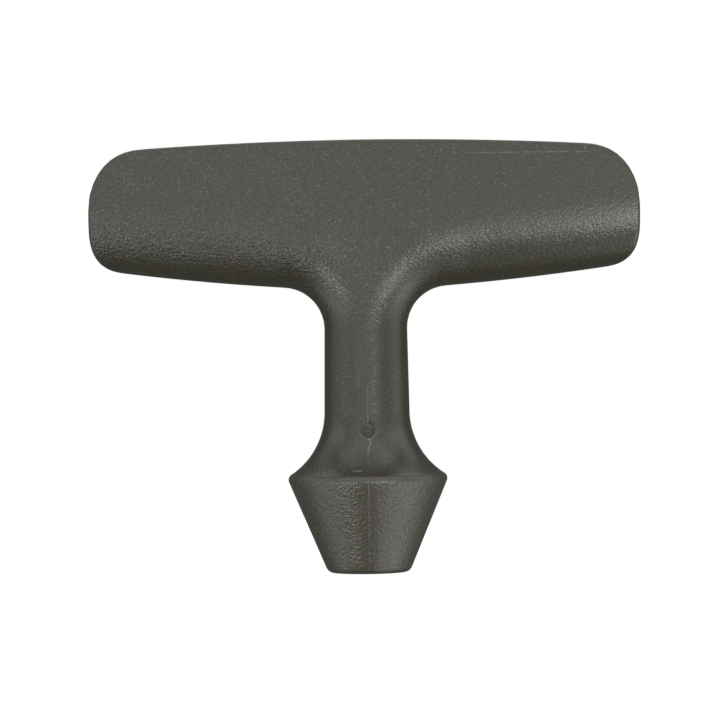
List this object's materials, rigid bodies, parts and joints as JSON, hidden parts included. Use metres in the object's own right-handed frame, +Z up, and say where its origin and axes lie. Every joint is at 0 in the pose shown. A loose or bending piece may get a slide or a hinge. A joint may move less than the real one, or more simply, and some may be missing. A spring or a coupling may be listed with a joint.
{
  "type": "starter handle",
  "caption": "T-shaped pull handle for a recoil starter: rounded crossbar, round neck, flared collar and cone nose, with a rope hole and knot pocket through it.",
  "frame": {"origin": "middle of the nose mouth, on the rope's axis, at the handle's lowest point", "axes": "+Z up along the rope's axis from the nose mouth to the crown, +X along the crossbar, -Y out of the face that carries the gate mark"},
  "size_m": [0.09, 0.0262, 0.0708],
  "materials": {
    "grip_rubber": "fine spark-eroded grain, satin"
  },
  "bodies": {
    "root": {"handle": "grip_rubber"}
  },
  "joints": []
}
